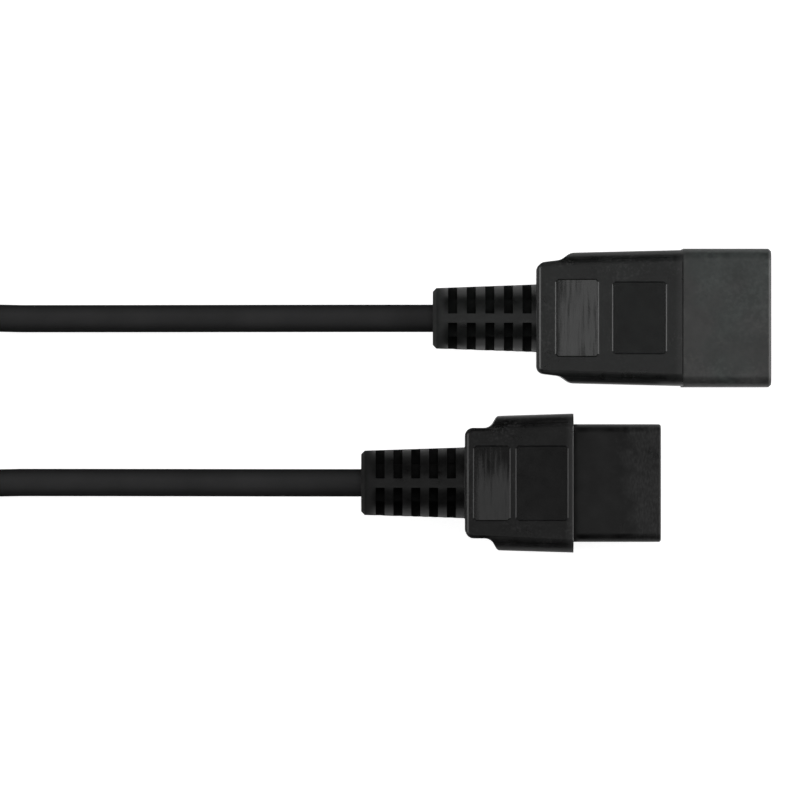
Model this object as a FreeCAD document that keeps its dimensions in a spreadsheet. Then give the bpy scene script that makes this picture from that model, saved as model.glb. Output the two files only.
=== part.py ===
"""A C19-to-C20 power lead: the C19 connector, its cord and the C20 plug on the cord's far end.

The origin is on the floor, at the middle of the C19 connector. +X points out of the
connector's nose, +Y points from the C19 connector to the C20 plug beside it, +Z is up.
"""

import FreeCAD, Part
import math
import os
import re

import Sketcher

Vector = FreeCAD.Vector
X_AXIS = Vector(1, 0, 0)
Y_AXIS = Vector(0, 1, 0)
Z_AXIS = Vector(0, 0, 1)
TINY = 1e-4

doc = FreeCAD.newDocument("rack_lead")
sheet = doc.addObject("Spreadsheet::Sheet", "dims")

# Every driving dimension, in millimetres. "wide" is a full width or diameter, "tall" is a
# full height, and a place along a connector (back, front, start) is its X.
SIZES = {
    # The cord and its three cores, each drawn with flat sides and its corners on its diameter
    "cord_wide": 6.33,
    "cord_sides": 16,
    "core_wide": 2.4,
    "core_sides": 12,
    "copper_wide": 1.5,
    "copper_tall": 1.1,
    "bundle_reach": 1.55,
    "core_tuck": 2.0,
    # The pin pattern, which the two ends share
    "pin_aside": 6.5,
    "pin_rise": 4.0,
    "blade_wide": 8.0,
    "blade_thick": 2.0,
    # Crimps on the cores
    "crimp_sheet": 0.5,
    "crimp_long": 5.2,
    "grip_crimp_wide": 3.3,
    "grip_crimp_long": 2.8,
    # Ribs and windows of the strain reliefs
    "rib_thick": 2.1,
    "relief_core_wide": 8.4,
    "relief_bevel": 0.8,
    # Label recesses
    "panel_deep": 0.4,
    "panel_corner": 0.5,
    # The C19 connector's strain relief
    "c19_axis_lift": 11.25,
    "c19_axis_aside": 0,
    "c19_relief_back": -34.4,
    "c19_relief_back_wide": 14.8,
    "c19_relief_front_wide": 16.5,
    "c19_gap_start": -31.08,
    "c19_gap_long": 2.08,
    "c19_gap_pitch": 4.1,
    # The C19 connector's grip
    "c19_grip_back": -10.44,
    "c19_grip_front": 14.34,
    "c19_grip_tall": 22.5,
    "c19_back_wide": 25.3,
    "c19_neck_wide": 25.3,
    "c19_flank_back_wide": 30.44,
    "c19_flank_front_wide": 31.9,
    "c19_step_start": -4.68,
    "c19_step_end": -3.07,
    "c19_step_hollow": 2.4,
    "c19_step_round": 1.0,
    "c19_corner_round": 1.9,
    "c19_flank_round": 3.6,
    "c19_edge_bevel": 0.5,
    "c19_blank_start": -8.49,
    "c19_blank_end": -0.34,
    "c19_blank_wide": 16.86,
    "c19_label_start": 1.24,
    "c19_label_end": 12.94,
    "c19_label_wide": 16.82,
    # The C19 connector's contact carrier and contacts
    "nose_front": 34.4,
    "nose_wide": 27.0,
    "nose_tall": 19.4,
    "nose_round": 2.3,
    "nose_bevel": 3.0,
    "nose_edge": 0.3,
    "carrier_back": 9.5,
    "flange_start": 10.3,
    "flange_end": 12.7,
    "flange_wide": 28.2,
    "flange_tall": 20.4,
    "front_wall": 1.5,
    "slot_wide": 8.6,
    "slot_tall": 2.7,
    "slot_bevel": 0.4,
    "cell_wide": 9.6,
    "cell_tall": 4.4,
    "socket_back": 15.0,
    "socket_front": 32.4,
    "socket_wide": 9.2,
    "socket_tall": 3.1,
    "socket_sheet": 0.45,
    "socket_seam": 0.5,
    "neck_wide": 3.0,
    "c19_crimp_front": 12.0,
    "c19_fan_front": 2.0,
    "c19_jacket_end": -12.0,
    # The C20 plug's strain relief
    "c20_axis_lift": 12.1,
    "c20_axis_aside": 37.9,
    "c20_relief_back": -17.9,
    "c20_relief_back_wide": 13.9,
    "c20_relief_front_wide": 15.8,
    "c20_gap_start": -14.4,
    "c20_gap_long": 2.1,
    "c20_gap_pitch": 4.27,
    # The C20 plug's grip
    "c20_grip_back": 6.08,
    "c20_grip_front": 39.46,
    "c20_grip_tall": 23.6,
    "c20_back_wide": 25.3,
    "c20_neck_wide": 26.6,
    "c20_flank_back_wide": 29.6,
    "c20_flank_front_wide": 31.2,
    "c20_step_start": 11.36,
    "c20_step_end": 13.65,
    "c20_step_hollow": 3.0,
    "c20_step_round": 3.0,
    "c20_corner_round": 1.8,
    "c20_flank_round": 3.2,
    "c20_edge_bevel": 0.5,
    "c20_blank_start": 10.3,
    "c20_blank_end": 19.9,
    "c20_blank_wide": 17.4,
    "c20_label_start": 23.36,
    "c20_label_end": 35.46,
    "c20_label_wide": 16.2,
    # The C20 plug's shroud and pins
    "shroud_front": 59.6,
    "shroud_wide": 31.8,
    "shroud_tall": 24.2,
    "shroud_round": 2.9,
    "shroud_edge": 0.6,
    "shroud_back": 33.5,
    "shroud_flange_end": 35.7,
    "shroud_flange_wide": 28.0,
    "shroud_flange_tall": 20.6,
    "shroud_neck_wide": 26.0,
    "shroud_neck_tall": 18.6,
    "well_floor": 41.1,
    "well_wide": 27.6,
    "well_tall": 20.0,
    "well_round": 1.9,
    "well_bevel": 3.2,
    "earth_tip": 58.6,
    "live_tip": 56.6,
    "tip_bevel": 0.55,
    "tip_corner": 1.2,
    "c20_crimp_front": 31.5,
    "c20_fan_front": 21.5,
    "c20_jacket_end": 5.0,
    # The cord's coil, which lies flat behind the two ends, and its tie
    "coil_x": -188.5,
    "coil_turn_wide": 94.0,
    "coil_hole_wide": 44.8,
    "coil_tall": 12.8,
    "coil_lift": 0.6,
    "coil_lead_angle": 36.0,
    "coil_landing": 8.0,
    "tie_long": 9.0,
    "tie_thick": 0.6,
}

for row, (alias, value) in enumerate(SIZES.items(), 1):
    sheet.set(f"A{row}", alias)
    sheet.set(f"B{row}", str(value))
    sheet.setAlias(f"B{row}", alias)
doc.recompute()

SIZE_NAMES = re.compile(r"\b(" + "|".join(SIZES) + r")\b")

# Each core by name: its side of the pin pattern (-1, 0 or 1) and up (1) or down (-1)
CORES = {"line": (-1, 1), "neutral": (1, 1), "earth": (0, -1)}


# ---------------------------------------------------------------- sheet and sketch helpers

def size(expression):
    """The present value of an expression in the sheet's names."""
    return float(sheet.evalExpression(expression))


def bind(thing, prop, expression):
    """Tie a property of an object to an expression in the sheet's names."""
    thing.setExpression(prop, SIZE_NAMES.sub(r"dims.\1", expression))


def new_body(label, x="0", y="0", z="0"):
    body = doc.addObject("PartDesign::Body", label)
    body.Label = label
    for axis, expression in zip("xyz", (x, y, z)):
        bind(body, f"Placement.Base.{axis}", expression)
    return body


def new_sketch(body, plane, offset="0"):
    """A sketch on one of the body's own planes, moved along that plane's normal."""
    sketch = body.newObject("Sketcher::SketchObject", f"{body.Label}_sketch")
    origin_plane = next(f for f in body.Origin.OriginFeatures if f.Role == f"{plane}_Plane")
    sketch.AttachmentSupport = (origin_plane, [""])
    sketch.MapMode = "FlatFace"
    bind(sketch, "AttachmentOffset.Base.z", offset)
    return sketch


def pin_point(sketch, edge, end, x, y):
    """Hold one point of a sketch's edge at bound distances from the sketch's origin."""
    for kind, axis_line, expression in (("DistanceX", -2, x), ("DistanceY", -1, y)):
        value = size(expression)
        if abs(value) < TINY:
            sketch.addConstraint(Sketcher.Constraint("PointOnObject", edge, end, axis_line))
            continue
        number = sketch.addConstraint(Sketcher.Constraint(kind, -1, 1, edge, end, value))
        bind(sketch, f"Constraints[{number}]", expression)


def draw_outline(sketch, points):
    """A closed outline of straight edges through (x, y) expressions."""
    first = sketch.GeometryCount
    count = len(points)
    corners = [Vector(size(x), size(y), 0) for x, y in points]
    for i in range(count):
        sketch.addGeometry(Part.LineSegment(corners[i], corners[(i + 1) % count]))
    for i in range(count):
        after = first + (i + 1) % count
        sketch.addConstraint(Sketcher.Constraint("Coincident", first + i, 2, after, 1))
    for i, (x, y) in enumerate(points):
        pin_point(sketch, first + i, 1, x, y)


def draw_rectangle(sketch, wide, tall, x="0", y="0"):
    """A rectangle of a bound width and height about a bound middle."""
    left, right = f"{x} - {wide} / 2", f"{x} + {wide} / 2"
    low, high = f"{y} - {tall} / 2", f"{y} + {tall} / 2"
    draw_outline(sketch, [(left, low), (right, low), (right, high), (left, high)])


def draw_polygon(sketch, wide, sides):
    """A regular polygon about the sketch's origin, with its corners on a bound diameter."""
    draw_outline(sketch, [(f"{wide} / 2 * cos({corner} * 360 deg / {sides})",
                           f"{wide} / 2 * sin({corner} * 360 deg / {sides})")
                          for corner in range(round(size(sides)))])


# ---------------------------------------------------------------- feature helpers

def pad(body, sketch, length, symmetric=False):
    feature = body.newObject("PartDesign::Pad", f"{body.Label}_pad")
    feature.Profile = sketch
    feature.SideType = "Symmetric" if symmetric else "One side"
    bind(feature, "Length", length)
    return feature


def pocket(body, sketch, length, towards_normal):
    """Cut a sketch into the body, and stop if the cut takes nothing away."""
    doc.recompute()
    volume_before = body.Shape.Volume
    feature = body.newObject("PartDesign::Pocket", f"{body.Label}_pocket")
    feature.Profile = sketch
    feature.Reversed = towards_normal
    bind(feature, "Length", length)
    doc.recompute()
    if body.Shape.Volume > volume_before - TINY:
        raise RuntimeError(f"{feature.Label} cuts nothing")
    return feature


def revolve(body, sketch, axis):
    feature = body.newObject("PartDesign::Revolution", f"{body.Label}_revolution")
    feature.Profile = sketch
    feature.ReferenceAxis = (sketch, [axis])
    feature.Angle = 360
    return feature


def dress_edges(body, kind, amount, wanted):
    """Fillet or chamfer those edges of the body that the wanted test picks."""
    doc.recompute()
    base = body.Tip
    names = [f"Edge{n}" for n, edge in enumerate(base.Shape.Edges, 1) if wanted(edge)]
    if not names:
        raise RuntimeError(f"{body.Label}: no edge to dress")
    feature = body.newObject(f"PartDesign::{kind}", f"{body.Label}_{kind}")
    feature.Base = (base, names)
    bind(feature, "Radius" if kind == "Fillet" else "Size", amount)


def is_line(edge, axis):
    """Whether an edge is straight and runs along an axis."""
    if edge.Curve.TypeId != "Part::GeomLine":
        return False
    return abs(edge.Curve.Direction.cross(axis).Length) < TINY


def is_at(edge, axis, place):
    """Whether a whole edge lies in the plane at a place along an axis."""
    return all(abs(vertex.Point.dot(axis) - place) < TINY for vertex in edge.Vertexes)


def boolean(kind, label, base, tool):
    feature = doc.addObject(f"Part::{kind}", label)
    feature.Label = label
    feature.Base = base
    feature.Tool = tool
    return feature


# ---------------------------------------------------------------- routes and sweeps

def curved_wire(points):
    """A wire of straight runs joined by tangent arcs as large as the runs allow, and the radii."""
    edges, radii = [], []
    start = points[0]
    for before, corner, after in zip(points, points[1:], points[2:]):
        run_in, run_out = corner - before, after - corner
        half_turn = run_in.getAngle(run_out) / 2
        reach = 0.45 * min(run_in.Length, run_out.Length)
        radius = reach / math.tan(half_turn)
        way_in, way_out = Vector(run_in).normalize(), Vector(run_out).normalize()
        arc_start, arc_end = corner - way_in * reach, corner + way_out * reach
        to_centre = (way_out - way_in).normalize()
        bulge = radius / math.cos(half_turn) - radius
        arc = Part.Arc(arc_start, corner + to_centre * bulge, arc_end)
        edges += [Part.LineSegment(start, arc_start).toShape(), arc.toShape()]
        radii.append(radius)
        start = arc_end
    edges.append(Part.LineSegment(start, points[-1]).toShape())
    return Part.Wire(edges), radii


def sweep_polygon(label, kind, points, wire):
    """A cord or core along a wire, its volume compared with section times length."""
    spine = doc.addObject("Part::Feature", f"{label}_route")
    spine.Shape = wire
    section = doc.addObject("Part::RegularPolygon", f"{label}_section")
    bind(section, "Circumradius", f"{kind}_wide / 2")
    bind(section, "Polygon", f"{kind}_sides")
    turn = FreeCAD.Rotation(Z_AXIS, points[1] - points[0])
    section.Placement = FreeCAD.Placement(points[0], turn)
    sweep = doc.addObject("Part::Sweep", label)
    sweep.Label = label
    sweep.Sections = [section]
    sweep.Spine = (spine, [f"Edge{n + 1}" for n in range(len(wire.Edges))])
    sweep.Transition = "Right corner"
    sweep.Solid = True
    doc.recompute()
    expected = Part.Face(Part.Wire(section.Shape.Edges)).Area * wire.Length
    ratio = sweep.Shape.Volume / expected
    if abs(ratio - 1) > 0.01:
        raise RuntimeError(f"{label}: volume is {ratio:.3f} of section times length")
    return sweep


# ---------------------------------------------------------------- the two moulded grips

def relief_body(end):
    """The ribbed strain relief: a taper with windows, four ribs along it and a square core."""
    body = new_body(f"{end}_relief", y=f"{end}_axis_aside", z=f"{end}_axis_lift")
    back, front = f"{end}_relief_back", f"{end}_grip_back + 2"
    back_half, front_half = f"{end}_relief_back_wide / 2", f"{end}_relief_front_wide / 2"
    taper = new_sketch(body, "XY")
    draw_outline(taper, [(back, "0"), (back, back_half), (front, front_half), (front, "0")])
    revolve(body, taper, "H_Axis")
    dress_edges(body, "Chamfer", "relief_bevel", lambda edge: is_at(edge, X_AXIS, size(back)))

    gap_start, gap_end = f"{end}_gap_start", f"{end}_gap_start + {end}_gap_long"
    cuts = []
    for up in (1, -1):
        windows = new_sketch(body, "XY", f"{up} * rib_thick / 2")
        for side in (1, -1):
            near = f"{side} * rib_thick / 2"
            far = f"{side} * {end}_relief_front_wide"
            draw_outline(windows, [(gap_start, near), (gap_end, near), (gap_end, far), (gap_start, far)])
        cuts.append(pocket(body, windows, f"{end}_relief_front_wide", up > 0))
    pattern = body.newObject("PartDesign::LinearPattern", f"{end}_windows")
    pattern.Originals = cuts
    pattern.Direction = (taper, ["H_Axis"])
    pattern.Occurrences = 5
    bind(pattern, "Length", f"4 * {end}_gap_pitch")
    body.Tip = pattern

    core = new_sketch(body, "YZ", gap_start)
    draw_rectangle(core, "relief_core_wide", "relief_core_wide")
    pad(body, core, f"{end}_gap_long + 4 * {end}_gap_pitch")
    return body


def block_body(end):
    """The grip's tapered block, rounded along its four long edges, with its two recesses."""
    body = new_body(f"{end}_block", y=f"{end}_axis_aside", z=f"{end}_axis_lift")
    back, front = f"{end}_grip_back", f"{end}_grip_front"
    back_half, front_half = f"{end}_flank_back_wide / 2", f"{end}_flank_front_wide / 2"
    plan = new_sketch(body, "XY")
    draw_outline(plan, [(back, f"-{back_half}"), (front, f"-{front_half}"),
                        (front, front_half), (back, back_half)])
    pad(body, plan, f"{end}_grip_tall", symmetric=True)
    is_flank = lambda edge: abs(edge.BoundBox.XLength - size(f"{front} - {back}")) < TINY
    dress_edges(body, "Fillet", f"{end}_flank_round", is_flank)

    for up in (1, -1):
        recess = new_sketch(body, "XY", f"{up} * {end}_grip_tall / 2")
        for panel in ("blank", "label"):
            start, stop = f"{end}_{panel}_start", f"{end}_{panel}_end"
            middle = f"({start} + {stop}) / 2"
            draw_rectangle(recess, f"({stop} - {start})", f"{end}_{panel}_wide", x=middle)
        pocket(body, recess, "panel_deep", up < 0)
    dress_edges(body, "Chamfer", "panel_corner", lambda edge: (
        is_line(edge, Z_AXIS) and size(back) < edge.CenterOfMass.x < size(front) - TINY))
    return body


def prism_body(end):
    """The grip's plan: a narrow neck at the back that steps out to the finger wings."""
    body = new_body(f"{end}_plan", y=f"{end}_axis_aside", z=f"{end}_axis_lift")
    back, front = f"{end}_grip_back", f"{end}_grip_front"
    step_start, step_end = f"{end}_step_start", f"{end}_step_end"
    slope = f"({end}_flank_front_wide - {end}_flank_back_wide) / ({front} - {back})"
    wing_half = f"({end}_flank_back_wide + {slope} * ({step_end} - {back})) / 2"
    half = [(back, f"{end}_back_wide / 2"), (step_start, f"{end}_neck_wide / 2"),
            (step_end, wing_half), (front, f"{end}_flank_front_wide / 2")]
    plan = new_sketch(body, "XY")
    draw_outline(plan, half + [(x, f"-({y})") for x, y in reversed(half)])
    pad(body, plan, f"{end}_grip_tall", symmetric=True)
    for place, amount in ((back, "corner_round"), (step_start, "step_hollow"),
                          (step_end, "step_round")):
        dress_edges(body, "Fillet", f"{end}_{amount}",
                    lambda edge: is_line(edge, Z_AXIS) and is_at(edge, X_AXIS, size(place)))
    top = size(f"{end}_grip_tall / 2")
    dress_edges(body, "Chamfer", f"{end}_edge_bevel", lambda edge: (
        is_at(edge, Z_AXIS, top) or is_at(edge, Z_AXIS, -top))
        and not is_at(edge, X_AXIS, size(front)))
    return body


def overmould(end, pieces):
    """The soft outer moulding of one end, hollowed by the pieces that it was moulded round."""
    grip = boolean("Common", f"{end}_grip", block_body(end), prism_body(end))
    whole = boolean("Fuse", f"{end}_moulding", grip, relief_body(end))
    filling = doc.addObject("Part::MultiFuse", f"{end}_filling")
    filling.Shapes = pieces
    return boolean("Cut", f"{end}_overmould", whole, filling)


# ---------------------------------------------------------------- cores, crimps and pins

def core_place(end, core):
    """Where a core's contact stands across the connector, as two expressions."""
    side, up = CORES[core]
    aside = f"{end}_axis_aside + {side} * pin_aside" if side else f"{end}_axis_aside"
    return aside, f"{end}_axis_lift + {up} * pin_rise"


def insulated_core(end, core, jacket):
    """A core from its crimp back to where it fans out of the cut end of the jacket."""
    aside, lift = (size(expression) for expression in core_place(end, core))
    contact = Vector(0, aside, lift)
    axis = Vector(0, size(f"{end}_axis_aside"), size(f"{end}_axis_lift"))
    gathered = axis + (contact - axis).normalize() * size("bundle_reach")
    crimped = X_AXIS * size(f"{end}_crimp_front - crimp_long") + contact
    fan_front = X_AXIS * size(f"{end}_fan_front") + contact
    fan_back = X_AXIS * size(f"{end}_jacket_end") + gathered
    tucked = fan_back + (fan_back - fan_front).normalize() * size("core_tuck")
    points = [crimped, fan_front, tucked]
    core_sweep = sweep_polygon(f"{end}_sweep_{core}", "core", points, Part.makePolygon(points))
    return boolean("Cut", f"{end}_core_{core}", core_sweep, jacket)


def bare_conductor(end, core):
    """The stripped copper, which the crimp has pressed to fill its own rectangular bore."""
    aside, lift = core_place(end, core)
    body = new_body(f"{end}_conductor_{core}", y=aside, z=lift)
    section = new_sketch(body, "YZ", f"{end}_crimp_front - crimp_long")
    draw_rectangle(section, "copper_wide", "copper_tall")
    pad(body, section, "crimp_long")
    return body


def add_crimps(body, end):
    """A closed crimp round the copper, and behind it one that grips the insulation."""
    front = f"{end}_crimp_front"
    barrel = new_sketch(body, "YZ", f"{front} - crimp_long")
    draw_rectangle(barrel, "(copper_wide + 2 * crimp_sheet)", "(copper_tall + 2 * crimp_sheet)")
    draw_rectangle(barrel, "copper_wide", "copper_tall")
    pad(body, barrel, "crimp_long")
    grip = new_sketch(body, "YZ", f"{front} - crimp_long - grip_crimp_long")
    draw_rectangle(grip, "grip_crimp_wide", "grip_crimp_wide")
    draw_polygon(grip, "core_wide", "core_sides")
    pad(body, grip, "grip_crimp_long")


def contact_body(core):
    """A C19 contact: folded sheet that takes a blade, a neck, and the two crimps."""
    aside, lift = core_place("c19", core)
    body = new_body(f"c19_contact_{core}", y=aside, z=lift)
    fold = new_sketch(body, "YZ", "socket_back")
    draw_rectangle(fold, "socket_wide", "socket_tall")
    draw_rectangle(fold, "(socket_wide - 2 * socket_sheet)", "(socket_tall - 2 * socket_sheet)")
    pad(body, fold, "socket_front - socket_back")
    seam = new_sketch(body, "XY", "socket_tall / 4")
    draw_rectangle(seam, "(socket_front - socket_back)", "socket_seam",
                   x="(socket_front + socket_back) / 2")
    pocket(body, seam, "socket_tall", True)
    neck = new_sketch(body, "XZ")
    floor, sheet_top = "-socket_tall / 2", "socket_sheet - socket_tall / 2"
    crimp_low = "-copper_tall / 2 - crimp_sheet"
    crimp_high = f"socket_sheet {crimp_low}"
    draw_outline(neck, [("socket_back + 1", floor), ("socket_back + 1", sheet_top),
                        ("socket_back - 0.5", sheet_top), ("c19_crimp_front + 0.5", crimp_high),
                        ("c19_crimp_front - 0.5", crimp_high), ("c19_crimp_front - 0.5", crimp_low),
                        ("c19_crimp_front + 0.5", crimp_low), ("socket_back - 0.5", floor)])
    pad(body, neck, "neck_wide", symmetric=True)
    add_crimps(body, "c19")
    return body


def pin_body(core):
    """A C20 pin: a flat blade with an eased tip, and the two crimps behind it."""
    aside, lift = core_place("c20", core)
    tip = "earth_tip" if core == "earth" else "live_tip"
    body = new_body(f"c20_pin_{core}", y=aside, z=lift)
    blade = new_sketch(body, "YZ", "c20_crimp_front")
    draw_rectangle(blade, "blade_wide", "blade_thick")
    pad(body, blade, f"{tip} - c20_crimp_front")
    at_tip = size(tip)
    dress_edges(body, "Chamfer", "tip_corner",
                lambda edge: is_line(edge, Z_AXIS) and is_at(edge, X_AXIS, at_tip))
    dress_edges(body, "Chamfer", "tip_bevel",
                lambda edge: is_line(edge, Y_AXIS) and is_at(edge, X_AXIS, at_tip))
    add_crimps(body, "c20")
    return body


# ---------------------------------------------------------------- rigid insulating pieces

def long_edges(upper):
    """A test for edges along X above (or below) the middle."""
    return lambda edge: is_line(edge, X_AXIS) and (edge.CenterOfMass.z > 0) == upper


def cell_rectangles(body, offset, wide, tall):
    """One rectangle at each of the three contact places."""
    sketch = new_sketch(body, "YZ", offset)
    for side, up in CORES.values():
        aside = f"{side} * pin_aside" if side else "0"
        draw_rectangle(sketch, wide, tall, x=aside, y=f"{up} * pin_rise")
    return sketch


def carrier_body():
    """The C19 nose: one block with a locking flange, three contact cells and three slots."""
    body = new_body("c19_contact_carrier", y="c19_axis_aside", z="c19_axis_lift")
    nose = new_sketch(body, "YZ", "carrier_back")
    draw_rectangle(nose, "nose_wide", "nose_tall")
    pad(body, nose, "nose_front - carrier_back")
    dress_edges(body, "Fillet", "nose_round", long_edges(True))
    dress_edges(body, "Chamfer", "nose_bevel", long_edges(False))
    front = size("nose_front")
    dress_edges(body, "Chamfer", "nose_edge", lambda edge: is_at(edge, X_AXIS, front))
    flange = new_sketch(body, "YZ", "flange_start")
    draw_rectangle(flange, "flange_wide", "flange_tall")
    pad(body, flange, "flange_end - flange_start")
    cells = cell_rectangles(body, "carrier_back", "cell_wide", "cell_tall")
    pocket(body, cells, "nose_front - front_wall - carrier_back", True)
    slots = cell_rectangles(body, "nose_front", "slot_wide", "slot_tall")
    pocket(body, slots, "front_wall + 1", False)
    rim = size("nose_wide / 2 - slot_bevel")
    dress_edges(body, "Chamfer", "slot_bevel", lambda edge: (
        is_at(edge, X_AXIS, front) and edge.BoundBox.DiagonalLength < size("slot_wide + 1")
        and abs(edge.CenterOfMass.y) < rim and abs(edge.CenterOfMass.z) < size("nose_tall / 3")))
    return body


def shroud_body():
    """The C20 shroud: a hard rectangular well with a floor that holds the pins."""
    body = new_body("c20_shroud", y="c20_axis_aside", z="c20_axis_lift")
    wall = new_sketch(body, "YZ", "c20_grip_front")
    draw_rectangle(wall, "shroud_wide", "shroud_tall")
    pad(body, wall, "shroud_front - c20_grip_front")
    dress_edges(body, "Fillet", "shroud_round", lambda edge: is_line(edge, X_AXIS))
    front = size("shroud_front")
    dress_edges(body, "Chamfer", "shroud_edge", lambda edge: is_at(edge, X_AXIS, front))
    for start, length, wide, tall in (
            ("shroud_flange_end", "c20_grip_front - shroud_flange_end",
             "shroud_neck_wide", "shroud_neck_tall"),
            ("shroud_back", "shroud_flange_end - shroud_back",
             "shroud_flange_wide", "shroud_flange_tall")):
        plug = new_sketch(body, "YZ", start)
        draw_rectangle(plug, wide, tall)
        pad(body, plug, length)
    well = new_sketch(body, "YZ", "shroud_front")
    draw_rectangle(well, "well_wide", "well_tall")
    pocket(body, well, "shroud_front - well_floor", False)

    def is_well_corner(upper):
        return lambda edge: (long_edges(upper)(edge) and abs(edge.CenterOfMass.y)
                             > size("well_wide / 2") - TINY and edge.CenterOfMass.x
                             > size("well_floor") and abs(edge.CenterOfMass.z)
                             < size("well_tall / 2") + TINY)

    corner_y = size("well_wide / 2")
    dress_edges(body, "Fillet", "well_round", lambda edge: is_well_corner(True)(edge)
                and abs(abs(edge.CenterOfMass.y) - corner_y) < TINY)
    dress_edges(body, "Chamfer", "well_bevel", lambda edge: is_well_corner(False)(edge)
                and abs(abs(edge.CenterOfMass.y) - corner_y) < TINY)
    pins = cell_rectangles(body, "well_floor", "blade_wide", "blade_thick")
    pocket(body, pins, "well_floor - shroud_back", False)
    return body


# ---------------------------------------------------------------- the cord

CORD_REST = 3.25      # height of the cord's middle where it lies on the floor


def cord_points(end, drop_start, drop_end, corner_x, landing):
    """One lead of the cord, from its stripped end out to the coil."""
    aside, lift = size(f"{end}_axis_aside"), size(f"{end}_axis_lift")
    return [Vector(size(f"{end}_jacket_end"), aside, lift), Vector(drop_start, aside, lift),
            Vector(drop_end, aside, CORD_REST), Vector(corner_x, aside, CORD_REST), landing]


def cord_leads():
    """The two straight leads, which part company just before the coil to meet it on a tangent."""
    half_gap = size("c20_axis_aside / 2")
    radius = size("coil_turn_wide / 2")
    angle = math.radians(size("coil_lead_angle"))
    run = (radius * math.cos(angle) - half_gap) / math.sin(angle)
    corner_x = size("coil_x") + radius * math.sin(angle) + run * math.cos(angle)
    to_landing = run - size("coil_landing")
    leads = {}
    for end, outward, drop_start, drop_end, height in (
            ("c19", -1, -53.0, -94.0, CORD_REST), ("c20", 1, -37.0, -85.0, 5.5)):
        corner = Vector(corner_x, size(f"{end}_axis_aside"), CORD_REST)
        landing = corner + Vector(-math.cos(angle), outward * math.sin(angle), 0) * to_landing
        landing.z = height
        points = cord_points(end, drop_start, drop_end, corner_x, landing)
        wire, radii = curved_wire(points)
        print(f"{end} lead: {wire.Length:.1f} long, bend radii", [round(radius, 1) for radius in radii])
        leads[end] = sweep_polygon(f"cord_sweep_{end}", "cord", points, wire)
    return leads


def coil_body():
    """The outer shape of the coil: a flat ring."""
    body = new_body("cord_coil", x="coil_x", y="c20_axis_aside / 2", z="coil_lift")
    section = new_sketch(body, "XZ")
    inner, outer = "coil_hole_wide / 2", "coil_turn_wide / 2 + cord_wide / 2"
    draw_outline(section, [(inner, "0"), (outer, "0"), (outer, "coil_tall"), (inner, "coil_tall")])
    revolve(body, section, "V_Axis")
    return body


def tie_piece(coil):
    """A soft tie round all the turns, on the far side of the coil."""
    block = doc.addObject("Part::Box", "tie_block")
    outer = "coil_turn_wide / 2 + cord_wide / 2"
    bind(block, "Length", f"{outer} - coil_hole_wide / 2 + 2 * tie_thick")
    bind(block, "Width", "tie_long")
    bind(block, "Height", "coil_tall + 2 * tie_thick")
    bind(block, "Placement.Base.x", f"coil_x - {outer} - tie_thick")
    bind(block, "Placement.Base.y", "c20_axis_aside / 2 - tie_long / 2")
    bind(block, "Placement.Base.z", "coil_lift - tie_thick")
    return boolean("Cut", "cord_tie", block, coil)


# ---------------------------------------------------------------- assembly, checks, export

coil = coil_body()
nodes = [coil, tie_piece(coil)]
cord = cord_leads()
for end, rigid, metal in (("c19", carrier_body, contact_body), ("c20", shroud_body, pin_body)):
    nodes.append(boolean("Cut", f"cord_tube_{end}", cord[end], coil))
    pieces = [rigid()]
    for core in CORES:
        pieces += [metal(core), bare_conductor(end, core), insulated_core(end, core, cord[end])]
    nodes += pieces
    nodes.append(overmould(end, pieces + [cord[end]]))
doc.recompute()

for thing in doc.Objects:
    if {"Invalid", "Error"} & set(thing.State):
        raise RuntimeError(f"{thing.Label} failed: {thing.State}")
os.makedirs("parts", exist_ok=True)
for node in nodes:
    shape = node.Shape
    if shape.isNull() or not shape.isValid() or len(shape.Solids) != 1:
        raise RuntimeError(f"{node.Label} isn't one sound solid: {len(shape.Solids)} solids")
for node in nodes:
    node.Shape.exportStep(f"parts/{node.Label}.step")
    print(f"{node.Label}: volume {node.Shape.Volume:.1f}, faces {len(node.Shape.Faces)}")
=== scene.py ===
"""The C19-to-C20 power lead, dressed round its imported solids: moulded black ends side by side
on a pale floor, with the cord's spare length coiled behind them. All lengths are in metres.
"""

import math
from types import SimpleNamespace

import bpy
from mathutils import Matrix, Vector


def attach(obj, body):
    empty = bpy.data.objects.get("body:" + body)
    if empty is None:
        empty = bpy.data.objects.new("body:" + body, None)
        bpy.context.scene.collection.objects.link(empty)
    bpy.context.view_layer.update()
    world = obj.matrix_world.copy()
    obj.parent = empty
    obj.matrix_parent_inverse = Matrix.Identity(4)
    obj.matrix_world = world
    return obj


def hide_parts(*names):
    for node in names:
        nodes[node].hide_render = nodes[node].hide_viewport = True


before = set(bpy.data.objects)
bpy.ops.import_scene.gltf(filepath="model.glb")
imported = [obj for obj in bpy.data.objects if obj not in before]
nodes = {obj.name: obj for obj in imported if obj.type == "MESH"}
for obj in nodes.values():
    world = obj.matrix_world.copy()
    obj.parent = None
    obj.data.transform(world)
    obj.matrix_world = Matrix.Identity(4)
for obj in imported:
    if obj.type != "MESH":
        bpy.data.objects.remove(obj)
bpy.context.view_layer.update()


# ---- The camera
# It looks straight down on the two ends from well above them, so both are seen in plan with
# their noses to the right. The lens is long, as for a catalogue picture.

VIEW_WIDE = 0.18437
VIEW_MIDDLE = (-0.02546, 0.01909)
VIEW_LEVEL = 0.0113
LENS = 400.0
SENSOR = 36.0

camera_data = bpy.data.cameras.new("camera")
camera_data.lens = LENS
camera_data.sensor_width = SENSOR
camera = bpy.data.objects.new("camera", camera_data)
camera.location = (*VIEW_MIDDLE, VIEW_LEVEL + VIEW_WIDE * LENS / SENSOR)
bpy.context.scene.collection.objects.link(camera)
bpy.context.scene.camera = camera


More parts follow.
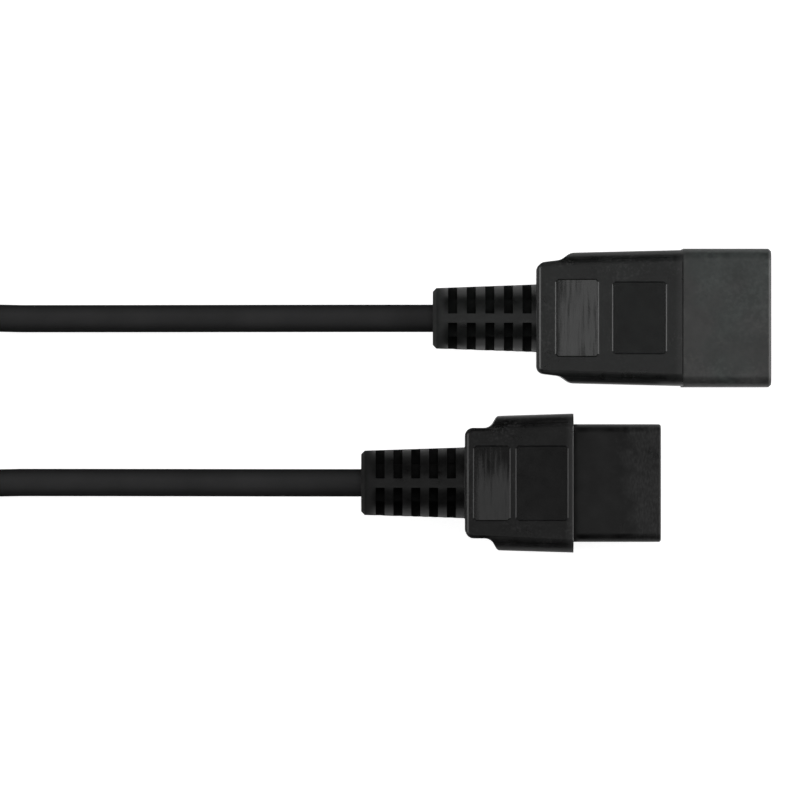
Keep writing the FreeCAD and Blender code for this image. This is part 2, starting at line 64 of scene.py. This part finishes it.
# ---- The cord's jacket
# One length of round black PVC cord, 1.8 m between its two strain reliefs. It leaves each end
# level, drops to the floor, and its spare length is wound in a flat coil two layers deep.

CORD_WIDE = 0.00633
CORD_BLACK = (0.033, 0.033, 0.0335)
NOISE_SPAN = (0.3, 0.7)

C19_AXIS = (0, 0.01125)
C20_AXIS = (0.0379, 0.0121)
LYING = 0.00325
LEAD_C19 = [(-0.012, *C19_AXIS), (-0.036, *C19_AXIS), (-0.053, *C19_AXIS),
            (-0.094, C19_AXIS[0], LYING), (-0.1346, C19_AXIS[0], LYING)]
LEAD_C20 = [(0.005, *C20_AXIS), (-0.020, *C20_AXIS), (-0.037, *C20_AXIS),
            (-0.094, C20_AXIS[0], LYING), (-0.1346, C20_AXIS[0], LYING)]

COIL_MIDDLE = (-0.1885, 0.01895)
COIL_OUTER = 0.047
COIL_PITCH = 0.0064
COIL_LEAD = math.radians(36)
COIL_LIFT = 0.0006
FLOOR_GAP = 0.0001
TURN_POINTS = 12
LAYER_TURNS = 10 / 3
LAYER_STEPS = round(LAYER_TURNS * TURN_POINTS)
CLIMB_POINTS = 3


def coil_turn(step):
    """The cord's distance from the coil's middle and its level: inwards low, outwards high."""
    inward = min(step, 2 * LAYER_STEPS - step)
    climb = min(max((step - LAYER_STEPS) / CLIMB_POINTS + 0.5, 0), 1)
    level = COIL_LIFT + CORD_WIDE / 2 + FLOOR_GAP + COIL_PITCH * climb
    return COIL_OUTER - COIL_PITCH * inward / TURN_POINTS, level


def coil_points():
    """The coil's control points. They stand a little outside it, since the curve cuts corners."""
    reach = 1 / math.cos(math.pi / TURN_POINTS)
    points = []
    for step in range(2 * LAYER_STEPS + 1):
        radius, level = coil_turn(step)
        turned = COIL_LEAD - math.pi / 2 - math.tau * step / TURN_POINTS
        points.append((COIL_MIDDLE[0] + radius * reach * math.cos(turned),
                       COIL_MIDDLE[1] + radius * reach * math.sin(turned), level))
    return points


def new_material(name):
    """A node material, with its tree and its shader."""
    material = bpy.data.materials.new(name)
    material.use_nodes = True
    tree = material.node_tree
    return material, tree, tree.nodes["Principled BSDF"]


def add_node(tree, kind, inputs=None, **settings):
    """A node with its settings, and with its inputs set to a value or linked to a socket."""
    node = tree.nodes.new(kind)
    for key, value in settings.items():
        setattr(node, key, value)
    for socket, value in (inputs or {}).items():
        if isinstance(value, bpy.types.NodeSocket):
            tree.links.new(value, node.inputs[socket])
        else:
            node.inputs[socket].default_value = value
    return node


def object_place(tree):
    return add_node(tree, "ShaderNodeTexCoord").outputs["Object"]


def noise(tree, place, scale, detail=2.0, roughness=0.5):
    """Cloudy noise of so many lumps a metre."""
    inputs = {"Vector": place, "Scale": scale, "Detail": detail, "Roughness": roughness}
    return add_node(tree, "ShaderNodeTexNoise", inputs).outputs["Fac"]


def spread(tree, value, start, end, low=0.0, high=1.0):
    """The value's range from start to end, made to run from low to high."""
    inputs = {"Value": value, "From Min": start, "From Max": end, "To Min": low, "To Max": high}
    return add_node(tree, "ShaderNodeMapRange", inputs).outputs["Result"]


def wrinkle(tree, shader, height, strength, distance, normal=None):
    """Raise the shaded surface by a height pattern that is so many metres tall."""
    inputs = {"Height": height, "Strength": strength, "Distance": distance}
    if normal:
        inputs["Normal"] = normal
    bump = add_node(tree, "ShaderNodeBump", inputs)
    tree.links.new(bump.outputs["Normal"], shader.inputs["Normal"])


def maths(tree, operation, first, second):
    return add_node(tree, "ShaderNodeMath", {0: first, 1: second}, operation=operation).outputs[0]


def tinted(tree, colour, amount):
    """The colour, made so many times as bright."""
    return add_node(tree, "ShaderNodeVectorMath", {0: colour, "Scale": amount},
                    operation="SCALE").outputs["Vector"]


def split_place(tree, place):
    split = add_node(tree, "ShaderNodeSeparateXYZ", {"Vector": place})
    return [split.outputs[letter] for letter in "XYZ"]


def jacket_material():
    """Extruded PVC with a faint orange-peel skin. Its colour carries painted shade: darker on its
    sides, paler on top.
    """
    material, tree, shader = new_material("cord_jacket")
    place = object_place(tree)
    cloud = noise(tree, place, 90.0, 3.0)
    facing = add_node(tree, "ShaderNodeNewGeometry").outputs["Normal"]
    up = split_place(tree, facing)[2]
    # Painted shade: the base colour darkens as the surface turns away from straight up.
    painted_side_shade = spread(tree, up, 0.3, 0.95, 0.1, 1.0)
    shade = maths(tree, "MULTIPLY", painted_side_shade, spread(tree, cloud, *NOISE_SPAN, 0.9, 1.1))
    tree.links.new(tinted(tree, CORD_BLACK, shade), shader.inputs["Base Color"])
    tree.links.new(spread(tree, cloud, *NOISE_SPAN, 0.65, 0.75), shader.inputs["Roughness"])
    wrinkle(tree, shader, noise(tree, place, 1500.0), 0.15, 0.00005)
    shader.inputs["Specular IOR Level"].default_value = 0.06
    return material


def cord_piece():
    curve = bpy.data.curves.new("cord", "CURVE")
    curve.dimensions = "3D"
    spline = curve.splines.new("NURBS")
    route = LEAD_C19 + coil_points() + LEAD_C20[::-1]
    spline.points.add(len(route) - 1)
    for point, place in zip(spline.points, route):
        point.co = (*place, 1)
    spline.order_u = 3
    spline.use_endpoint_u = True
    spline.resolution_u = 8
    curve.bevel_depth = CORD_WIDE / 2
    curve.bevel_resolution = 8
    curve.use_fill_caps = True
    curve.materials.append(jacket_material())
    piece = bpy.data.objects.new("cord", curve)
    bpy.context.scene.collection.objects.link(piece)
    return piece


cord = cord_piece()
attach(cord, "root")
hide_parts("cord_tube_c19", "cord_tube_c20", "cord_coil")


# ---- Smooth moulded surfaces
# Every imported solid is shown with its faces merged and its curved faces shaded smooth. Its
# real corners stay crisp, and the grips' upper rims are eased, as a mould leaves them.

CREASE = math.radians(20)
SEAM = 0.000001
SLACK = 0.00005
FLAT = math.radians(0.5)
RIM_ANGLE = math.radians(35)
RIM_EASE = 0.00024


def new_tree(name, *numbers):
    """An empty tree with number inputs. Returns the tree, its input and its output."""
    tree = bpy.data.node_groups.new(name, "GeometryNodeTree")
    tree.interface.new_socket("Geometry", in_out="INPUT", socket_type="NodeSocketGeometry")
    for number in numbers:
        tree.interface.new_socket(number, in_out="INPUT", socket_type="NodeSocketFloat")
    tree.interface.new_socket("Geometry", in_out="OUTPUT", socket_type="NodeSocketGeometry")
    return tree, tree.nodes.new("NodeGroupInput"), tree.nodes.new("NodeGroupOutput")


def add_tree(node, tree, **numbers):
    """Put the tree on a solid, with its number inputs."""
    modifier = node.modifiers.new(tree.name, "NODES")
    modifier.node_group = tree
    for socket in tree.interface.items_tree:
        if socket.name in numbers:
            modifier[socket.identifier] = numbers[socket.name]


def merged(tree, start):
    """The solid's loose triangles, joined along their shared edges."""
    return add_node(tree, "GeometryNodeMergeByDistance",
                    {"Geometry": start.outputs["Geometry"], "Distance": SEAM}).outputs["Geometry"]


def compare(tree, operation, first, second, **inputs):
    return add_node(tree, "FunctionNodeCompare", {0: first, 1: second, **inputs},
                    operation=operation).outputs["Result"]


def logic(tree, operation, first, second):
    return add_node(tree, "FunctionNodeBooleanMath", {0: first, 1: second},
                    operation=operation).outputs["Boolean"]


def bent_edges(tree, angle):
    """The edges where two faces meet at more than the angle."""
    bend = add_node(tree, "GeometryNodeInputMeshEdgeAngle").outputs["Unsigned Angle"]
    return compare(tree, "GREATER_THAN", bend, angle)


def smoothing_tree():
    tree, start, end = new_tree("moulded_surface", "Crease")
    smooth = add_node(tree, "GeometryNodeSetShadeSmooth", {"Geometry": merged(tree, start)},
                      domain="FACE")
    crisp = add_node(tree, "GeometryNodeSetShadeSmooth",
                     {"Geometry": smooth.outputs["Geometry"], "Shade Smooth": False,
                      "Selection": bent_edges(tree, start.outputs["Crease"])}, domain="EDGE")
    tree.links.new(crisp.outputs["Geometry"], end.inputs["Geometry"])
    return tree


def rim_tree():
    """Marks the corners of the flat top, above Top, and of the back wall, which stands at Back."""
    tree, start, end = new_tree("grip_rims", "Top", "Back")
    place = add_node(tree, "GeometryNodeInputPosition").outputs["Position"]
    split = add_node(tree, "ShaderNodeSeparateXYZ", {"Vector": place})
    on_top = compare(tree, "GREATER_THAN", split.outputs["Z"], start.outputs["Top"])
    at_back = compare(tree, "EQUAL", split.outputs["X"], start.outputs["Back"], Epsilon=SLACK)
    either = logic(tree, "OR", on_top, at_back)
    rims = logic(tree, "AND", either, bent_edges(tree, RIM_ANGLE))
    marked = add_node(tree, "GeometryNodeStoreNamedAttribute",
                      {"Geometry": merged(tree, start), "Selection": rims,
                       "Name": "bevel_weight_edge", "Value": 1.0},
                      data_type="FLOAT", domain="EDGE")
    tree.links.new(marked.outputs["Geometry"], end.inputs["Geometry"])
    return tree


moulded_surface = smoothing_tree()
grip_rims = rim_tree()


def finish_node(name, material, rims=None):
    """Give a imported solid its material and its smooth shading, and a grip its eased rims."""
    node = nodes[name]
    node.data.materials.clear()
    node.data.materials.append(material)
    if rims:
        add_tree(node, grip_rims, Top=rims[0], Back=rims[1])
        flat = node.modifiers.new("flat_faces", "DECIMATE")
        flat.decimate_type = "DISSOLVE"
        flat.angle_limit = FLAT
        ease = node.modifiers.new("rim_ease", "BEVEL")
        ease.limit_method = "WEIGHT"
        ease.width = RIM_EASE
        ease.segments = 1
        ease.use_clamp_overlap = False
        ease.loop_slide = False
    add_tree(node, moulded_surface, Crease=CREASE)


# ---- The tie
# A strip of black hook-and-loop tape, pulled round all the turns on the side away from the
# plugs. It starts on top, goes down outside and up inside, and its end lies over its start.

TAPE_WIDE = 0.009
TAPE_THICK = 0.0006
TAPE_GAP = 0.00005
TAPE_STEP = TURN_POINTS * 0.35
TAPE_START = 0.0365
TAPE_END = 0.0440
LAP_LIFT = TAPE_THICK * 1.2
BEND_STEPS = 6

# The turns at the corners of the bundle, as the tape passes them. Turns 0 to 3 lie on the
# floor, from the outer one inwards, and 4 to 6 on top of them, from the inner one outwards.
CORNER_TURNS = (4, 6, 0, 2, 3, 4, 6)


def tape_material():
    """Woven nylon with a pile of fine loops."""
    material, tree, shader = new_material("tie_tape")
    loops = add_node(tree, "ShaderNodeTexVoronoi", {"Vector": object_place(tree), "Scale": 1800.0})
    wrinkle(tree, shader, loops.outputs["Distance"], 0.6, 0.0002)
    shader.inputs["Base Color"].default_value = (0.014, 0.014, 0.015, 1)
    shader.inputs["Roughness"].default_value = 0.85
    return material


def bend(before, turn, after):
    """The tape's stations round a turn: its distance, its level, and the way the tape faces."""
    ways = [math.atan2(b[0] - a[0], a[1] - b[1]) for a, b in ((before, turn), (turn, after))]
    swing = (ways[1] - ways[0]) % -math.tau
    return [(*turn, ways[0] + swing * k / BEND_STEPS) for k in range(BEND_STEPS + 1)]


def tape_stations():
    """Each with its distance from the coil's middle, its level, its facing and its lift."""
    corners = [coil_turn(TAPE_STEP + TURN_POINTS * turn) for turn in CORNER_TURNS]
    top = corners[0][1]
    stations = [(TAPE_START, top, math.pi / 2)]
    for before, turn, after in zip(corners, corners[1:], corners[2:]):
        stations += bend(before, turn, after)
    around = [(*station, TAPE_GAP) for station in stations]
    overlap = [(TAPE_START - 0.0014, top, math.pi / 2, TAPE_GAP),
               (TAPE_START - 0.0003, top, math.pi / 2, LAP_LIFT),
               (TAPE_END, top, math.pi / 2, LAP_LIFT)]
    return around + overlap


def tape_piece():
    """The tape's mesh: four corners at each station, joined from station to station."""
    points = []
    for distance, level, way, lift in tape_stations():
        for aside, rise in ((-1, 0), (1, 0), (1, TAPE_THICK), (-1, TAPE_THICK)):
            reach = CORD_WIDE / 2 + lift + rise
            points.append((COIL_MIDDLE[0] - distance - reach * math.cos(way),
                           COIL_MIDDLE[1] + aside * TAPE_WIDE / 2,
                           level + reach * math.sin(way)))
    last = len(points) - 4
    faces = [(k + c + 4, k + (c + 1) % 4 + 4, k + (c + 1) % 4, k + c)
             for k in range(0, last, 4) for c in range(4)]
    mesh = bpy.data.meshes.new("tie")
    mesh.from_pydata(points, [], faces + [(0, 1, 2, 3), (last + 3, last + 2, last + 1, last)])
    mesh.materials.append(tape_material())
    piece = bpy.data.objects.new("tie", mesh)
    bpy.context.scene.collection.objects.link(piece)
    return piece


tie = tape_piece()
add_tree(tie, moulded_surface, Crease=CREASE)
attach(tie, "root")
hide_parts("cord_tie")


# ---- The moulded grips
# Soft black PVC moulded over the inner pieces of each end, from a finely eroded mould. The blank
# recess near the cord comes from a polished plate, which left draw lines and a slight sink.

SKIN_ROUGH = 0.34
MATT_ROUGH = 0.95
POLISH_ROUGH = 0.17
DRAW_WAVE = 0.035
SINK_START = 0.0085
SINK_LONG = 0.0105
RECESS_DEEP = 0.0004
RELIEF_CORE = 0.0043
RELIEF_RIB = 0.0011

# Each grip's cord axis (Y, Z), the level of its flat top, the X of its strain relief's tail, of
# its back wall and of its front edge, the X limits of its two recesses, and how far the floor of
# the blank one leans at its two ends.
C19_GRIP = SimpleNamespace(axis=C19_AXIS, top=0.0225, tail=-0.0344, back=-0.01044, front=0.01434,
                           blank=(-0.0086, -0.0002), label=(0.0011, 0.0131), sink=(-0.02, 0.07))
C20_GRIP = SimpleNamespace(axis=C20_AXIS, top=0.0239, tail=-0.0179, back=0.00608, front=0.03946,
                           blank=(0.0102, 0.0200), label=(0.0232, 0.0356), sink=(0.06, 0.065))


def between(tree, value, low, high):
    """1 where the value is between low and high, and 0 elsewhere."""
    return add_node(tree, "ShaderNodeMath",
                    {0: value, 1: (low + high) / 2, 2: (high - low) / 2},
                    operation="COMPARE").outputs[0]


def blend(tree, share, first, second):
    """A number that is first where share is 0, and second where it is 1."""
    return add_node(tree, "ShaderNodeMix", {"Factor": share, "A": first, "B": second}).outputs[0]


def leaned_normal(tree, lean):
    """The surface's normal, leaned a little towards -Y."""
    facing = add_node(tree, "ShaderNodeNewGeometry").outputs["Normal"]
    aside = add_node(tree, "ShaderNodeCombineXYZ", {"Y": maths(tree, "MULTIPLY", lean, -1.0)})
    total = add_node(tree, "ShaderNodeVectorMath", {0: facing, 1: aside.outputs["Vector"]},
                     operation="ADD")
    return add_node(tree, "ShaderNodeVectorMath", {0: total.outputs["Vector"]},
                    operation="NORMALIZE").outputs["Vector"]


def dull_share(tree, place, grip):
    """1 on the strain relief's window floors, round its square core, and on the rear corners of
    the grip and of the relief."""
    x, y, z = split_place(tree, place)
    side, level = grip.axis
    core = maths(tree, "MULTIPLY", between(tree, y, side - RELIEF_CORE, side + RELIEF_CORE),
                 between(tree, z, level - RELIEF_CORE, level + RELIEF_CORE))
    side_rib = between(tree, z, level - RELIEF_RIB, level + RELIEF_RIB)
    behind = maths(tree, "LESS_THAN", x, grip.back)
    window = maths(tree, "MULTIPLY", behind, maths(tree, "MAXIMUM", core, side_rib))
    corner = maths(tree, "MULTIPLY", between(tree, x, grip.back - 0.0002, grip.back + 0.0008),
                   maths(tree, "LESS_THAN", z, grip.top - 0.0002))
    end = spread(tree, x, grip.tail + 0.0010, grip.tail + 0.0032, 1.0, 0.0)
    return maths(tree, "MAXIMUM", end, maths(tree, "MAXIMUM", window, corner))


def specks_and_edge_highlight(tree, place, grip):
    """Pale specks, in patches, in front of the back wall, and a painted highlight along the front
    edge.
    """
    x = split_place(tree, place)[0]
    patches = spread(tree, noise(tree, place, 130.0), 0.45, 0.6, 0.2, 1.0)
    specks = spread(tree, noise(tree, place, 1700.0, 1.0), 0.5, 0.7, 0.0, 0.017)
    specks = maths(tree, "MULTIPLY", specks, maths(tree, "GREATER_THAN", x, grip.back))
    # Painted highlight: a paler strip just behind the grip's front edge, which stands in for light
    # caught on that edge.
    painted_edge_highlight = spread(tree, x, grip.front - 0.0019, grip.front - 0.0002, 0.0, 0.020)
    return maths(tree, "ADD", maths(tree, "MULTIPLY", patches, specks), painted_edge_highlight)


def draw_lines(tree, place):
    """Fine lines across a polished plate, a little off square."""
    slant = add_node(tree, "ShaderNodeMapping",
                     {"Vector": place, "Scale": (1500, 110, 110),
                      "Rotation": (0, 0, math.radians(6))})
    return noise(tree, slant.outputs["Vector"], 1.0, 3.0)


def blank_lean(tree, place, grip):
    """How far the blank recess's floor leans, from its sink and from its draw lines."""
    x, y = split_place(tree, place)[:2]
    start = grip.axis[0] + SINK_START
    sunk = spread(tree, y, start, start - SINK_LONG, *grip.sink)
    drawn = spread(tree, draw_lines(tree, place), *NOISE_SPAN, -DRAW_WAVE, DRAW_WAVE)
    foot = spread(tree, x, grip.blank[0], grip.blank[0] + 0.0016)
    return maths(tree, "MULTIPLY", maths(tree, "ADD", sunk, drawn), foot)


def grip_material(name, colour, shine, grip):
    """Eroded PVC skin, polished in the two recesses."""
    material, tree, shader = new_material(name)
    place = object_place(tree)
    x, _, z = split_place(tree, place)
    floor_level = grip.top - RECESS_DEEP
    floor = between(tree, z, floor_level - SLACK, floor_level + SLACK)
    in_blank = maths(tree, "MULTIPLY", floor, between(tree, x, *grip.blank))
    in_label = maths(tree, "MULTIPLY", floor, between(tree, x, *grip.label))
    polished = maths(tree, "MAXIMUM", in_blank, in_label)
    cloud = noise(tree, place, 220.0, 6.0, 0.75)

    body = tinted(tree, colour, spread(tree, cloud, *NOISE_SPAN, 0.3, 1.9))
    # The pale specks and the painted front-edge highlight, left off the polished recesses.
    specks_and_highlight = maths(tree, "MULTIPLY", specks_and_edge_highlight(tree, place, grip),
                 maths(tree, "SUBTRACT", 1.0, polished))
    lightened = add_node(tree, "ShaderNodeVectorMath", {0: body, 1: specks_and_highlight}, operation="ADD")
    tree.links.new(lightened.outputs["Vector"], shader.inputs["Base Color"])

    skin = spread(tree, cloud, *NOISE_SPAN, SKIN_ROUGH - 0.1, SKIN_ROUGH + 0.1)
    rough = blend(tree, dull_share(tree, place, grip),
                  blend(tree, polished, skin, POLISH_ROUGH), MATT_ROUGH)
    tree.links.new(rough, shader.inputs["Roughness"])

    lean = maths(tree, "MULTIPLY", blank_lean(tree, place, grip), in_blank)
    wrinkle(tree, shader, noise(tree, place, 2600.0, 3.0), 0.2, 0.00004,
            leaned_normal(tree, lean))
    shader.inputs["Specular IOR Level"].default_value = shine
    return material


def finish_grip(name, material, grip):
    finish_node(name, material, rims=(grip.top - SLACK, grip.back))


finish_grip("c19_overmould",
            grip_material("c19_grip_pvc", (0.005, 0.005, 0.005), 0.5, C19_GRIP), C19_GRIP)
finish_grip("c20_overmould",
            grip_material("c20_grip_pvc", (0.0054, 0.0061, 0.0058), 0.9, C20_GRIP), C20_GRIP)


# ---- The nose and the shroud
# The C19 nose is a block of satin black nylon with its contacts in three cells, rubbed grey
# towards its end. The C20 shroud is a hard, dull, slightly green-grey shell round the pins.

NOSE_BLACK = (0.0055, 0.0055, 0.0055)
SHROUD_WARM = (0.0365, 0.0370, 0.0362, 1)
SHROUD_GREEN = (0.0325, 0.0375, 0.0357, 1)


def hard_plastic(name, shine, roughness, cloud_scale, mottle):
    """Nylon. Returns the material, its tree and shader, and its shade and roughness, unlinked."""
    material, tree, shader = new_material(name)
    place = object_place(tree)
    cloud = noise(tree, place, cloud_scale, 6.0, 0.65)
    shade = spread(tree, cloud, *NOISE_SPAN, 1 - mottle, 1 + mottle)
    rough = spread(tree, cloud, *NOISE_SPAN, roughness - 0.08, roughness + 0.08)
    wrinkle(tree, shader, noise(tree, place, 3200.0), 0.25, 0.00003)
    shader.inputs["Specular IOR Level"].default_value = shine
    return material, tree, shader, place, shade, rough


def nose_material():
    """Rubbed grey near the open end, and dull in the corner where the grip steps up."""
    material, tree, shader, place, shade, rough = hard_plastic("nose_nylon", 0.5, 0.34, 170.0, 0.9)
    x = split_place(tree, place)[0]
    ragged = maths(tree, "ADD", x,
                   spread(tree, noise(tree, place, 260.0, 5.0, 0.7), *NOISE_SPAN, -0.0035, 0.0035))
    lightened = spread(tree, ragged, 0.0250, 0.0285)
    scratch = add_node(tree, "ShaderNodeMapping", {"Vector": place, "Scale": (2600, 900, 900)})
    streaks = spread(tree, noise(tree, scratch.outputs["Vector"], 1.0, 2.0), 0.35, 0.65, 0.6, 3.4)
    shade = maths(tree, "ADD", shade, maths(tree, "MULTIPLY", lightened, streaks))
    corner = spread(tree, x, 0.0143, 0.0156, 1.0, 0.0)
    tree.links.new(tinted(tree, NOSE_BLACK, shade), shader.inputs["Base Color"])
    tree.links.new(blend(tree, corner, rough, MATT_ROUGH), shader.inputs["Roughness"])
    return material


def shroud_material():
    """A thin grey bloom in patches of fine specks."""
    material, tree, shader, place, shade, rough = hard_plastic("shroud_shell", 1.0, 0.36, 200.0, 0.25)
    patches = spread(tree, noise(tree, place, 110.0), 0.42, 0.6, 0.1, 0.55)
    specks = spread(tree, noise(tree, place, 1100.0, 2.0), 0.4, 0.65)
    shade = maths(tree, "ADD", shade, maths(tree, "MULTIPLY", patches, specks))
    tint = add_node(tree, "ShaderNodeMix",
                    {"Factor": spread(tree, noise(tree, place, 70.0), 0.45, 0.6),
                     "A": SHROUD_WARM, "B": SHROUD_GREEN},
                    data_type="RGBA")
    tree.links.new(tinted(tree, tint.outputs["Result"], shade), shader.inputs["Base Color"])
    tree.links.new(rough, shader.inputs["Roughness"])
    return material


finish_node("c19_contact_carrier", nose_material())
finish_node("c20_shroud", shroud_material())


# ---- Contacts and pins
# The C19 contacts are folded from brass sheet, with a crimp at the back of each. The C20 pins
# are solid nickel-plated blades, held in the shroud's floor.


def plated_metal(name, colour, roughness):
    """Drawn or rolled metal, with fine lines along its length."""
    material, tree, shader = new_material(name)
    stretch = add_node(tree, "ShaderNodeMapping",
                       {"Vector": object_place(tree), "Scale": (60, 2400, 2400)})
    draw = noise(tree, stretch.outputs["Vector"], 1.0, 3.0)
    tree.links.new(spread(tree, draw, 0.0, 1.0, roughness * 0.7, roughness * 1.4),
                   shader.inputs["Roughness"])
    wrinkle(tree, shader, draw, 0.1, 0.00002)
    shader.inputs["Base Color"].default_value = (*colour, 1)
    shader.inputs["Metallic"].default_value = 1.0
    return material


CORES = ("line", "neutral", "earth")
sheet_brass = plated_metal("sheet_brass", (0.72, 0.55, 0.28), 0.3)
blade_nickel = plated_metal("blade_nickel", (0.66, 0.64, 0.6), 0.22)
bare_copper = plated_metal("bare_copper", (0.75, 0.36, 0.2), 0.35)
for core in CORES:
    finish_node(f"c19_contact_{core}", sheet_brass)
    finish_node(f"c20_pin_{core}", blade_nickel)


# ---- The three cores
# Inside each grip the jacket ends, and a brown, a blue and a green-and-yellow core go to the
# crimps. Each has a bare copper conductor.

BROWN = (0.13, 0.045, 0.015, 1)
BLUE = (0.012, 0.07, 0.35, 1)
GREEN = (0.06, 0.25, 0.02, 1)
YELLOW = (0.62, 0.50, 0.02, 1)
CORE_COLOURS = {"line": (BROWN, BROWN), "neutral": (BLUE, BLUE), "earth": (GREEN, YELLOW)}


def core_material(core):
    """PVC insulation. The second colour runs along two opposite quarters of the core."""
    material, tree, shader = new_material(f"core_{core}")
    cloud = noise(tree, object_place(tree), 500.0)
    facing = add_node(tree, "ShaderNodeNewGeometry").outputs["Normal"]
    across, up = split_place(tree, facing)[1:]
    quarters = spread(tree, maths(tree, "MULTIPLY", across, up), 0.0, 0.06)
    first, second = CORE_COLOURS[core]
    tint = add_node(tree, "ShaderNodeMix", {"Factor": quarters, "A": first, "B": second},
                    data_type="RGBA")
    shade = spread(tree, cloud, *NOISE_SPAN, 0.85, 1.1)
    tree.links.new(tinted(tree, tint.outputs["Result"], shade), shader.inputs["Base Color"])
    tree.links.new(spread(tree, cloud, 0.0, 1.0, 0.3, 0.5), shader.inputs["Roughness"])
    return material


for core in CORES:
    insulation = core_material(core)
    for end in ("c19", "c20"):
        finish_node(f"{end}_core_{core}", insulation)
        finish_node(f"{end}_conductor_{core}", bare_copper)


# ---- Floor and light
# A lit white table in a white tent. The camera sees both as plain white, and the part mirrors
# only the table. A broad soft box hangs overhead, with low ones at each end to draw the rims,
# and two small cards stand back to back between the two ends.

ROOM_WIDE = 16.0
ROOM_TALL = 9.0
STAGE_GREY = 0.5
TENT_GLOW = 0.9
TABLE_GLOW = 0.12
TABLE_DROP = 0.0006
CARD_MIDDLE = (0.025, 0.0191, 0.0105)
CARD_LONG = 0.070
CARD_TALL = 0.019
OVERHEAD = 0.33
SCREEN = 0.03
LENS_HOLE = 0.26
HOT_MIDDLE = 3.7
HANG = (0, -math.sin(math.radians(9)), math.cos(math.radians(9)))


def stage_piece(name, points, faces, glow):
    """A plain white piece of the stage, which glows a little."""
    mesh = bpy.data.meshes.new(name)
    mesh.from_pydata(points, [], faces)
    material, _, shader = new_material(name + "_white")
    shader.inputs["Base Color"].default_value = (STAGE_GREY, STAGE_GREY, STAGE_GREY, 1)
    shader.inputs["Roughness"].default_value = 1.0
    shader.inputs["Specular IOR Level"].default_value = 0.0
    shader.inputs["Emission Color"].default_value = (1, 1, 1, 1)
    shader.inputs["Emission Strength"].default_value = glow
    mesh.materials.append(material)
    piece = bpy.data.objects.new(name, mesh)
    bpy.context.scene.collection.objects.link(piece)
    return piece


corners = [(x * ROOM_WIDE / 2, y * ROOM_WIDE / 2) for x, y in ((-1, -1), (1, -1), (1, 1), (-1, 1))]
floor_points = [(x, y, 0) for x, y in corners]
walls = [(k, (k + 1) % 4, (k + 1) % 4 + 4, k + 4) for k in range(4)]
tent = stage_piece("tent", floor_points + [(x, y, ROOM_TALL) for x, y in corners],
                   [(0, 1, 2, 3)] + walls, TENT_GLOW)
tent.visible_glossy = False
tent.visible_diffuse = False
tent.visible_shadow = False
table = stage_piece("table", [(x, y, -TABLE_DROP) for x, y in corners], [(0, 1, 2, 3)], TABLE_GLOW)
table.visible_camera = False


def soft_box(name, place, aim, wide, tall, glow, mirrored=True):
    """A rectangular light of even glow that faces the aim."""
    data = bpy.data.lights.new(name, "AREA")
    data.shape = "RECTANGLE"
    data.size = wide
    data.size_y = tall
    data.energy = glow * math.pi * wide * tall
    light = bpy.data.objects.new(name, data)
    light.location = place
    way = Vector(aim) - Vector(place)
    light.rotation_euler = way.to_track_quat("-Z", "Y").to_euler()
    light.visible_camera = False
    light.visible_glossy = mirrored
    bpy.context.scene.collection.objects.link(light)


ENDS = (*VIEW_MIDDLE, 0)
soft_box("box_left", (-1.3, 0.02, 0.42), ENDS, 1.2, 0.8, 2.3)
soft_box("box_rear", (-0.95, 0.02, 0.95), ENDS, 0.9, 0.5, 1.8)
soft_box("box_right", (1.3, 0.02, 0.42), ENDS, 1.2, 0.8, 2.6)
soft_box("box_key", (0.1, 0.9, 1.2), ENDS, 1.0, 1.0, 2.6, mirrored=False)
for name, side, card_glow in (("card_c19", 0, 0.4), ("card_c20", 0.04, 0.35)):
    aim = (CARD_MIDDLE[0], side, CARD_MIDDLE[2])
    soft_box(name, CARD_MIDDLE, aim, CARD_LONG, CARD_TALL, card_glow)

world = bpy.data.worlds.new("overhead_box")
world.use_nodes = True
sky = world.node_tree
towards = add_node(sky, "ShaderNodeTexCoord").outputs["Generated"]


def sky_rings(middle, stops):
    """The glow of the sky at so many degrees from the middle, between the stops."""
    near = add_node(sky, "ShaderNodeVectorMath", {0: towards, 1: middle}, operation="DOT_PRODUCT")
    ramp = add_node(sky, "ShaderNodeValToRGB", {"Fac": near.outputs["Value"]})
    while len(ramp.color_ramp.elements) < len(stops):
        ramp.color_ramp.elements.new(1.0)
    for element, (degrees, glow) in zip(ramp.color_ramp.elements, stops):
        element.position = math.cos(math.radians(degrees))
        element.color = (glow, glow, glow, 1)
    return ramp.outputs["Color"]


overhead = sky_rings((0, 0, 1), ((29, SCREEN), (22, OVERHEAD)))
hot_middle = sky_rings(HANG, ((15, 1.0), (12, LENS_HOLE), (6.5, LENS_HOLE), (4, HOT_MIDDLE)))
glow = add_node(sky, "ShaderNodeVectorMath", {0: overhead, 1: hot_middle}, operation="MULTIPLY")
sky.links.new(glow.outputs["Vector"], sky.nodes["Background"].inputs["Color"])
bpy.context.scene.world = world
bpy.context.scene.view_settings.view_transform = "Standard"
